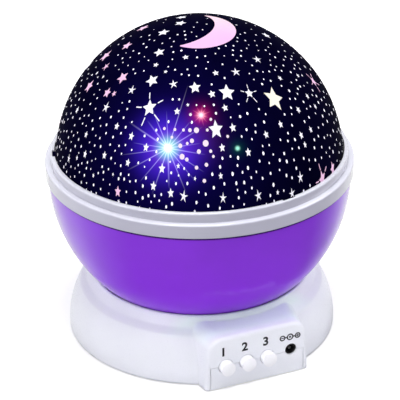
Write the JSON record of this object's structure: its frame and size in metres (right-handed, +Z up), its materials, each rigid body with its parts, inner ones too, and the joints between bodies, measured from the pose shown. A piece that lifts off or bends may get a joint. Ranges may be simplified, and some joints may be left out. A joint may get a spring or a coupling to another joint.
{
  "type": "star night light projector",
  "caption": "Night light with a printed star dome in a turning globe, on a round battery base with push buttons and a power inlet.",
  "frame": {"origin": "on the surface the feet stand on, under the axis that the globe turns about", "axes": "+Z up along the globe's axis, -Y out of the control panel, +X to the right of someone who faces the panel"},
  "size_m": [0.13, 0.13, 0.1377],
  "materials": {
    "white_abs": "smooth moulded, satin gloss",
    "purple_abs": "high gloss moulded",
    "ring_white": "smooth moulded, satin gloss",
    "dome_print": "clear dome printed dark navy, glossy",
    "button_white": "smooth moulded",
    "natural_nylon": "moulded nylon",
    "black_plastic": "moulded",
    "steel": "zinc plated",
    "brass_part": "turned",
    "rubber_pad": "matt",
    "circuit_green": "solder mask",
    "circuit_white": "white solder mask",
    "cell_wrap": "plain wrapped cell",
    "wire_cover": "insulation",
    "led_warm": "diffused lens",
    "led_red_lens": "tinted lens",
    "led_green_lens": "tinted lens",
    "led_blue_lens": "tinted lens"
  },
  "bodies": {
    "base": {"base_housing": "white_abs", "bottom_cover": "white_abs", "aaa_cells": "cell_wrap", "contact_plates": "steel", "contact_springs": "steel", "cover_screws": "steel", "rubber_feet": "rubber_pad", "control_board": "circuit_green", "control_chip": "black_plastic", "board_capacitor": "black_plastic", "board_resistors": "black_plastic", "tact_switches": "black_plastic", "dc_jack_body": "black_plastic", "dc_jack_pin": "steel", "gear_deck": "natural_nylon", "deck_screws": "steel", "motor_can": "steel", "motor_end_cap": "black_plastic", "motor_screws": "steel", "gear_axles": "steel", "hub_bush": "brass_part", "lamp_post": "white_abs", "lamp_board": "circuit_white", "lamp_screws": "steel", "led_white": "led_warm", "led_red": "led_red_lens", "led_green": "led_green_lens", "led_blue": "led_blue_lens", "lamp_resistors": "black_plastic", "lamp_wires": "wire_cover", "motor_wires": "wire_cover", "battery_wires": "wire_cover"},
    "globe": {"drive_hub": "natural_nylon", "hub_plate": "natural_nylon", "hub_screws": "steel", "bowl": "purple_abs", "rim_ring": "ring_white", "rim_screws": "steel"},
    "dome": {"dome": "dome_print"},
    "second_gear": {"second_gear": "natural_nylon"},
    "first_gear": {"first_gear": "natural_nylon"},
    "motor_rotor": {"motor_shaft": "steel", "motor_pinion": "brass_part"},
    "button_left": {"button_left": "button_white", "plunger_left": "natural_nylon"},
    "button_middle": {"button_middle": "button_white", "plunger_middle": "natural_nylon"},
    "button_right": {"button_right": "button_white", "plunger_right": "natural_nylon"},
    "battery_door": {"battery_door": "white_abs", "battery_door_screw": "steel"}
  },
  "joints": [
    {"name": "globe_spin", "type": "hinge", "parent": "base", "child": "globe", "pos_m": [0, 0, 0.024], "axis": [0, 0, 1], "continuous": true},
    {"name": "second_gear_spin", "type": "hinge", "parent": "base", "child": "second_gear", "pos_m": [0.02418, -0.01088, 0.0195], "axis": [0, 0, 1], "continuous": true},
    {"name": "first_gear_spin", "type": "hinge", "parent": "base", "child": "first_gear", "pos_m": [0.0289, -0.02462, 0.0195], "axis": [0, 0, 1], "continuous": true},
    {"name": "motor_spin", "type": "hinge", "parent": "base", "child": "motor_rotor", "pos_m": [0.01648, -0.02855, 0.017], "axis": [0, 0, 1], "continuous": true},
    {"name": "dome_lift", "type": "slide", "parent": "globe", "child": "dome", "axis": [0, 0, 1], "range_m": [0, 0.09]},
    {"name": "button_left_press", "type": "slide", "parent": "base", "child": "button_left", "axis": [0, 1, 0], "range_m": [0, 0.0006], "stiffness_N_per_m": 1500, "springref_m": -0.0006},
    {"name": "button_middle_press", "type": "slide", "parent": "base", "child": "button_middle", "axis": [0, 1, 0], "range_m": [0, 0.0006], "stiffness_N_per_m": 1500, "springref_m": -0.0006},
    {"name": "button_right_press", "type": "slide", "parent": "base", "child": "button_right", "axis": [0, 1, 0], "range_m": [0, 0.0006], "stiffness_N_per_m": 1500, "springref_m": -0.0006},
    {"name": "battery_door_swing", "type": "hinge", "parent": "base", "child": "battery_door", "pos_m": [0, 0.04595, 0.0014], "axis": [1, 0, 0], "range_deg": [0, 75]}
  ],
  "couplings": [
    {"joint": "second_gear_spin", "follows": "globe_spin", "ratio": -9.6},
    {"joint": "first_gear_spin", "follows": "globe_spin", "ratio": 46.08},
    {"joint": "motor_spin", "follows": "globe_spin", "ratio": -193.54}
  ]
}
